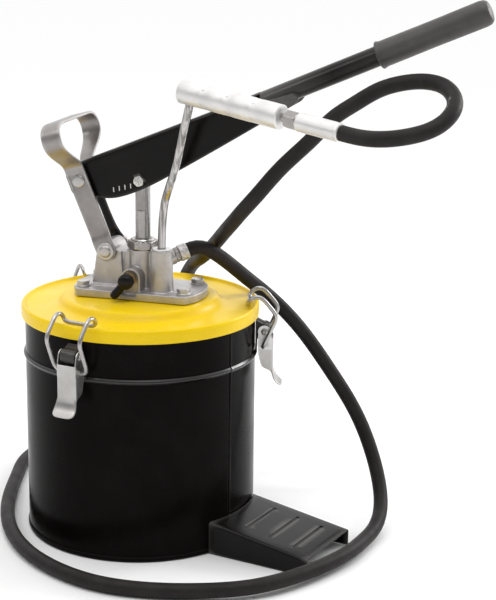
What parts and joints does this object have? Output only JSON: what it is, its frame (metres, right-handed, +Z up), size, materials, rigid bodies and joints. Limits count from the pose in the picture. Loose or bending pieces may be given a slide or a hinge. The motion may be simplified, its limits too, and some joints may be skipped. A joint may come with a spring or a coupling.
{
  "type": "gear oil bucket pump",
  "caption": "Hand-lever gear oil pump on a lidded steel pail with a foot step, toggle latches, a carrying handle, a long hose and a lift-out dispensing nozzle.",
  "frame": {"origin": "centre of the pail's flat base, on the floor", "axes": "+Z up; +X the way the hand lever points; +Y away from the side with the bleed cock"},
  "size_m": [0.5667, 0.414, 0.5874],
  "materials": {
    "black_paint": "gloss",
    "yellow_paint": "gloss",
    "grey_rubber": "matte",
    "cast_aluminium": "sand cast",
    "turned_aluminium": "satin",
    "zinc_plate": "zinc plated",
    "steel": "machined",
    "chrome": "polished",
    "brass": "machined",
    "hose_rubber": "satin",
    "black_plastic": "satin"
  },
  "bodies": {
    "pump": {"ball_stop_pin": "steel", "bucket": "black_paint", "cock_body": "brass", "foot_valve_seat": "brass", "footrest": "black_paint", "gland_nut": "steel", "gland_packing": "grey_rubber", "head_bolt_1": "zinc_plate", "head_bolt_2": "zinc_plate", "head_bolt_3": "zinc_plate", "head_bolt_4": "zinc_plate", "head_gasket": "grey_rubber", "hose": "hose_rubber", "latch_base_1": "black_paint", "latch_base_2": "black_paint", "latch_base_3": "black_paint", "latch_pin_1": "steel", "latch_pin_2": "steel", "latch_pin_3": "steel", "lid": "yellow_paint", "lid_gasket": "grey_rubber", "link_bolt_lower": "zinc_plate", "link_bolt_lower_nut": "zinc_plate", "outlet_ferrule": "turned_aluminium", "outlet_fitting": "steel", "outlet_valve_seat": "brass", "outlet_valve_spring": "steel", "pump_barrel": "steel", "pump_head": "cast_aluminium", "suction_strainer": "zinc_plate"},
    "rod": {"piston_rod": "steel", "piston": "brass", "piston_seal": "grey_rubber", "piston_nut": "steel", "rod_bolt": "zinc_plate", "rod_bolt_nut": "zinc_plate"},
    "lever": {"lever_channel": "black_paint", "lever_tube": "black_paint", "lever_grip": "grey_rubber"},
    "link": {"carry_handle": "zinc_plate", "link_bolt_upper": "zinc_plate", "link_bolt_upper_nut": "zinc_plate"},
    "latch_lever_1": {"latch_lever_1": "zinc_plate"},
    "latch_lever_2": {"latch_lever_2": "zinc_plate"},
    "latch_lever_3": {"latch_lever_3": "zinc_plate"},
    "latch_bail_1": {"latch_bail_1": "zinc_plate"},
    "latch_bail_2": {"latch_bail_2": "zinc_plate"},
    "latch_bail_3": {"latch_bail_3": "zinc_plate"},
    "nozzle": {"nozzle_tube": "chrome", "valve_handle": "turned_aluminium", "valve_neck": "steel", "swivel_nut": "steel", "hose_ferrule": "turned_aluminium"},
    "cock": {"cock_knob": "black_plastic"},
    "foot_ball": {"foot_valve_ball": "steel"},
    "outlet_ball": {"outlet_valve_ball": "steel"}
  },
  "joints": [
    {"name": "rod_stroke", "type": "slide", "parent": "pump", "child": "rod", "axis": [0, 0, 1], "range_m": [-0.024, 0.012]},
    {"name": "lever_hinge", "type": "hinge", "parent": "rod", "child": "lever", "pos_m": [0.004, 0, 0.387], "axis": [0, -1, 0], "range_deg": [-22, 11]},
    {"name": "link_hinge", "type": "hinge", "parent": "pump", "child": "link", "pos_m": [-0.0319, 0, 0.3094], "axis": [0, -1, 0], "range_deg": [-1.5, 1.5]},
    {"name": "nozzle_lift", "type": "slide", "parent": "pump", "child": "nozzle", "axis": [0, 0, 1], "range_m": [0, 0.018], "deforming": ["hose"]},
    {"name": "cock_turn", "type": "hinge", "parent": "pump", "child": "cock", "pos_m": [-0.001, -0.0373, 0.2835], "axis": [0, -1, 0], "range_deg": [-90, 0]},
    {"name": "foot_ball_lift", "type": "slide", "parent": "pump", "child": "foot_ball", "axis": [0, 0, 1], "range_m": [0, 0.005]},
    {"name": "outlet_ball_lift", "type": "slide", "parent": "pump", "child": "outlet_ball", "axis": [0, 0, 1], "range_m": [0, 0.0025], "deforming": ["outlet_valve_spring"]},
    {"name": "latch_lever_hinge_1", "type": "hinge", "parent": "pump", "child": "latch_lever_1", "pos_m": [-0.02817, -0.13254, 0.224], "axis": [-0.9781, 0.2079, 0], "range_deg": [0, 100]},
    {"name": "latch_bail_hinge_1", "type": "hinge", "parent": "latch_lever_1", "child": "latch_bail_1", "pos_m": [-0.02796, -0.13156, 0.2075], "axis": [-0.9781, 0.2079, 0], "range_deg": [-80, 5]},
    {"name": "latch_lever_hinge_2", "type": "hinge", "parent": "pump", "child": "latch_lever_2", "pos_m": [0.13203, 0.03048, 0.224], "axis": [0.225, -0.9744, 0], "range_deg": [0, 100]},
    {"name": "latch_bail_hinge_2", "type": "hinge", "parent": "latch_lever_2", "child": "latch_bail_2", "pos_m": [0.13105, 0.03026, 0.2075], "axis": [0.225, -0.9744, 0], "range_deg": [-80, 5]},
    {"name": "latch_lever_hinge_3", "type": "hinge", "parent": "pump", "child": "latch_lever_3", "pos_m": [-0.09241, 0.0991, 0.224], "axis": [0.7314, 0.682, 0], "range_deg": [0, 100]},
    {"name": "latch_bail_hinge_3", "type": "hinge", "parent": "latch_lever_3", "child": "latch_bail_3", "pos_m": [-0.09173, 0.09837, 0.2075], "axis": [0.7314, 0.682, 0], "range_deg": [-80, 5]}
  ],
  "couplings": [
    {"joint": "lever_hinge", "follows": "rod_stroke", "rad_per_m": 14.97},
    {"joint": "link_hinge", "follows": "rod_stroke", "rad_per_m": 0.524},
    {"joint": "latch_bail_hinge_1", "follows": "latch_lever_hinge_1", "ratio": -0.75},
    {"joint": "latch_bail_hinge_2", "follows": "latch_lever_hinge_2", "ratio": -0.75},
    {"joint": "latch_bail_hinge_3", "follows": "latch_lever_hinge_3", "ratio": -0.75}
  ]
}
